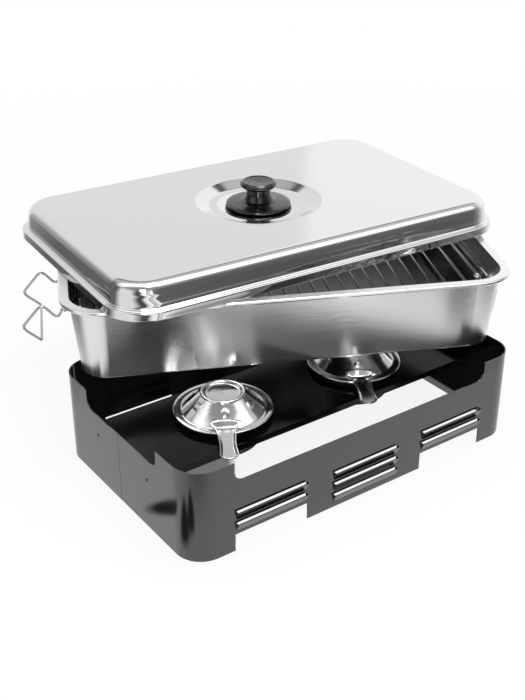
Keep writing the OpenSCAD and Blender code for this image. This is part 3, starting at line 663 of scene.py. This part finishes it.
def surroundTone(tree, direction, upward):
    # brightness of the room in a direction, as polished metal sees it; upward is the direction's height
    heading = radians(cameraSetup["heading"])
    ahead = (sin(heading), cos(heading), 0)
    away = addNode(tree, "ShaderNodeVectorMath", {"operation": "DOT_PRODUCT", 1: ahead}, {0: direction})
    swing = addNode(tree, "ShaderNodeMath", {"operation": "ARCTAN2"}, {0: upward, 1: away.outputs["Value"]})
    along = addNode(tree, "ShaderNodeMath", {"operation": "DIVIDE", 1: pi}, {0: swing.outputs["Value"]})
    stops = [(at, (v, v, v, 1)) for at, v in studio["overhead"]]
    overhead = addNode(tree, "ShaderNodeValToRGB", {"stops": stops}, {0: along.outputs["Value"]})
    split = addNode(tree, "ShaderNodeSeparateXYZ", None, {"Vector": direction})
    compass = addNode(tree, "ShaderNodeMath", {"operation": "ARCTAN2"},
                      {0: split.outputs["X"], 1: split.outputs["Y"]})
    turned = addNode(tree, "ShaderNodeMath", {"operation": "MULTIPLY_ADD", 1: 1 / (2 * pi), 2: 1.0},
                     {0: compass.outputs["Value"]})
    start = studio["round"][0][0]
    shifted = addNode(tree, "ShaderNodeMath", {"operation": "SUBTRACT", 1: start / 360},
                      {0: turned.outputs["Value"]})
    wrapped = addNode(tree, "ShaderNodeMath", {"operation": "FRACT"}, {0: shifted.outputs["Value"]})
    stops = [((at - start) / 360, (v, v, v, 1)) for at, v in studio["round"]]
    level = addNode(tree, "ShaderNodeValToRGB", {"stops": stops}, {0: wrapped.outputs["Value"]})
    return overhead, level


floorMesh = bpy.data.meshes.new("studioFloor")
half = studio["floorSize"]
corners = [(-half, -half, 0), (half, -half, 0), (half, half, 0), (-half, half, 0)]
floorMesh.from_pydata(corners, [], [(0, 1, 2, 3)])
floor = bpy.data.objects.new("studioFloor", floorMesh)
floor.location.z = -0.2 * mm
bpy.context.scene.collection.objects.link(floor)
floorMaterial = bpy.data.materials.new("studioPaper")
floorMaterial.use_nodes = True
tree = floorMaterial.node_tree
tree.nodes.clear()
# the paper is lit like a light table; shiny surfaces see it fall off into the room
paper = addNode(tree, "ShaderNodeBsdfDiffuse", {"Color": linear(studio["floor"])})
place = addNode(tree, "ShaderNodeNewGeometry")
outward = addNode(tree, "ShaderNodeVectorMath", {"operation": "SUBTRACT", 1: (*studio["middle"], 0)},
                  {0: place.outputs["Position"]})
reach = addNode(tree, "ShaderNodeVectorMath", {"operation": "LENGTH"}, {0: outward.outputs["Vector"]})
whiteFrom, whiteTo = studio["whiteReach"]
near = addNode(tree, "ShaderNodeMapRange", {"From Min": whiteFrom, "From Max": whiteTo, "To Min": 1.0,
                                            "To Max": 0.0}, {"Value": reach.outputs["Value"]})
split = addNode(tree, "ShaderNodeSeparateXYZ", None, {"Vector": outward.outputs["Vector"]})
overhead, level = surroundTone(tree, outward.outputs["Vector"], split.outputs["Z"])
seenTone = addNode(tree, "ShaderNodeMix", {"data_type": "RGBA", 7: (1, 1, 1, 1)},
                   {0: near.outputs["Result"], 6: level.outputs["Color"]})
# painted shade under the stove: inside the box the paper is painted dark where shiny surfaces see it, and
# painted dim to the camera in its closed left corner
boxMiddle, boxHalf = studio["box"]
offset = addNode(tree, "ShaderNodeVectorMath", {"operation": "SUBTRACT", 1: boxMiddle},
                 {0: place.outputs["Position"]})
folded = addNode(tree, "ShaderNodeVectorMath", {"operation": "ABSOLUTE"}, {0: offset.outputs["Vector"]})
sides = addNode(tree, "ShaderNodeSeparateXYZ", None, {"Vector": folded.outputs["Vector"]})
withinX = addNode(tree, "ShaderNodeMath", {"operation": "LESS_THAN", 1: boxHalf[0]}, {0: sides.outputs["X"]})
withinY = addNode(tree, "ShaderNodeMath", {"operation": "LESS_THAN", 1: boxHalf[1]}, {0: sides.outputs["Y"]})
inside = addNode(tree, "ShaderNodeMath", {"operation": "MULTIPLY"},
                 {0: withinX.outputs["Value"], 1: withinY.outputs["Value"]})
# painted shade: the paper's glow is turned down in the box's closed left corner, standing in for shade there
cornerShadePaint = studio["paintedCornerShade"]
spot = addNode(tree, "ShaderNodeSeparateXYZ", None, {"Vector": place.outputs["Position"]})
slant = addNode(tree, "ShaderNodeMath", {"operation": "MULTIPLY_ADD", 1: cornerShadePaint["lean"]},
                {0: spot.outputs["Y"], 2: spot.outputs["X"]})
corner = addNode(tree, "ShaderNodeMapRange", {"From Min": cornerShadePaint["from"], "From Max": cornerShadePaint["to"], "To Min": 1.0,
                                              "To Max": 0.0}, {"Value": slant.outputs["Value"]})
front = addNode(tree, "ShaderNodeMath", {"operation": "LESS_THAN", 1: cornerShadePaint["depth"]}, {0: spot.outputs["Y"]})
cornerFront = addNode(tree, "ShaderNodeMath", {"operation": "MULTIPLY"},
                      {0: corner.outputs["Result"], 1: front.outputs["Value"]})
shade = addNode(tree, "ShaderNodeMath", {"operation": "MULTIPLY"},
                {0: cornerFront.outputs["Value"], 1: inside.outputs["Value"]})
# the corner's painted shade sets how brightly the paper glows there
glow = addNode(tree, "ShaderNodeMapRange", {"To Min": 1.0, "To Max": cornerShadePaint["bright"]},
               {"Value": shade.outputs["Value"]})
white = addNode(tree, "ShaderNodeEmission", {"Color": (1, 1, 1, 1)}, {"Strength": glow.outputs["Result"]})
# far out the paper is as white as the backdrop, so no horizon shows
rays = addNode(tree, "ShaderNodeLightPath")
whitens, whitened = studio["horizon"]
clear = addNode(tree, "ShaderNodeMapRange", {"From Min": whitens, "From Max": whitened,
                                             "To Min": studio["lightTable"], "To Max": 1.0},
                {"Value": reach.outputs["Value"]})
share = addNode(tree, "ShaderNodeMath", {"operation": "MULTIPLY"},
                {0: rays.outputs["Is Camera Ray"], 1: clear.outputs["Result"]})
shown = addNode(tree, "ShaderNodeMixShader", None,
                {0: share.outputs["Value"], 1: paper.outputs["BSDF"], 2: white.outputs["Emission"]})
# painted shade: inside the box the paper is painted almost black as shiny surfaces see it
openTone, boxPaintedShade = studio["paperToneAndPaintedShade"]
seenLight = addNode(tree, "ShaderNodeMapRange", {"To Min": openTone, "To Max": boxPaintedShade},
                    {"Value": inside.outputs["Value"]})
# each painted dark shape darkens the paper as the metal reflects it
for (x, y), halfLong, halfWide, heading in studio["paintedDarkReflections"]:
    local = addNode(tree, "ShaderNodeMapping", {"vector_type": "TEXTURE", "Location": (x, y, 0),
                                                "Rotation": (0, 0, -radians(heading)),
                                                "Scale": (halfWide, halfLong, 1)},
                    {"Vector": place.outputs["Position"]})
    far = addNode(tree, "ShaderNodeVectorMath", {"operation": "LENGTH"}, {0: local.outputs["Vector"]})
    # painted reflection: dark in the middle, gone a little past the ellipse
    keep = addNode(tree, "ShaderNodeMapRange", {"From Min": 0.7, "From Max": 1.15, "To Min": 0.03,
                                                "To Max": 1.0}, {"Value": far.outputs["Value"]})
    seenLight = addNode(tree, "ShaderNodeMath", {"operation": "MULTIPLY"},
                        {0: seenLight.outputs[0], 1: keep.outputs["Result"]})
reflectedPaper = addNode(tree, "ShaderNodeEmission", None,
                         {"Color": seenTone.outputs[2], "Strength": seenLight.outputs[0]})
mixed = addNode(tree, "ShaderNodeMixShader", None,
                {0: rays.outputs["Is Glossy Ray"], 1: shown.outputs["Shader"],
                 2: reflectedPaper.outputs["Emission"]})
addNode(tree, "ShaderNodeOutputMaterial", None, {"Surface": mixed.outputs["Shader"]})
floorMesh.materials.append(floorMaterial)

world = bpy.data.worlds.new("studioWorld")
bpy.context.scene.world = world
world.use_nodes = True
tree = world.node_tree
tree.nodes.clear()
rays = addNode(tree, "ShaderNodeLightPath")
toward = addNode(tree, "ShaderNodeTexCoord")
height = addNode(tree, "ShaderNodeSeparateXYZ", None, {"Vector": toward.outputs["Generated"]})
overhead, level = surroundTone(tree, toward.outputs["Generated"], height.outputs["Z"])
# low down the room's sides show, higher up the ceiling's lamps
ceilingStart, ceilingFull = studio["ceilingFrom"]
raised = addNode(tree, "ShaderNodeMapRange", {"From Min": ceilingStart, "From Max": ceilingFull},
                 {"Value": height.outputs["Z"]})
room = addNode(tree, "ShaderNodeMix", {"data_type": "RGBA"},
               {0: raised.outputs["Result"], 6: level.outputs["Color"], 7: overhead.outputs["Color"]})
edge = radians(studio["edgeHeading"])
beyond = addNode(tree, "ShaderNodeVectorMath", {"operation": "DOT_PRODUCT", 1: (cos(edge), -sin(edge), 0)},
                 {0: toward.outputs["Generated"]})
dimHalf, brightHalf = studio["halves"]
half = addNode(tree, "ShaderNodeMapRange", {"From Min": -0.006, "From Max": 0.006, "To Min": dimHalf,
                                            "To Max": brightHalf}, {"Value": beyond.outputs["Value"]})
ambient = addNode(tree, "ShaderNodeBackground", {"Color": (1, 1, 1, 1), "Strength": studio["ambient"]})
reflected = addNode(tree, "ShaderNodeBackground", None,
                    {"Color": room.outputs[2], "Strength": half.outputs["Result"]})
backdrop = addNode(tree, "ShaderNodeBackground", {"Color": (1, 1, 1, 1), "Strength": 1.0})
lit = addNode(tree, "ShaderNodeMixShader", None,
              {0: rays.outputs["Is Glossy Ray"], 1: ambient.outputs["Background"],
               2: reflected.outputs["Background"]})
mixed = addNode(tree, "ShaderNodeMixShader", None,
                {0: rays.outputs["Is Camera Ray"], 1: lit.outputs["Shader"],
                 2: backdrop.outputs["Background"]})
addNode(tree, "ShaderNodeOutputWorld", None, {"Surface": mixed.outputs["Shader"]})


def softbox(name, position, target, size, power):
    lampData = bpy.data.lights.new(name, "AREA")
    lampData.shape = "RECTANGLE"
    lampData.size, lampData.size_y = size
    lampData.energy = power
    lamp = bpy.data.objects.new(name, lampData)
    lamp.location = position
    aim = Vector(target) - Vector(position)
    lamp.rotation_euler = aim.to_track_quat("-Z", "Y").to_euler()
    bpy.context.scene.collection.objects.link(lamp)
    return lamp


softbox("topSoftbox", (0.1, -0.1, 1.6), (0.0, 0.15, 0.1), (0.9, 0.7), 10)
softbox("frontSoftbox", (-1.0, -1.1, 1.3), (0.0, 0.1, 0.1), (0.45, 0.45), 8)
print("studio lit")

bpy.context.scene.view_settings.view_transform = "Standard"
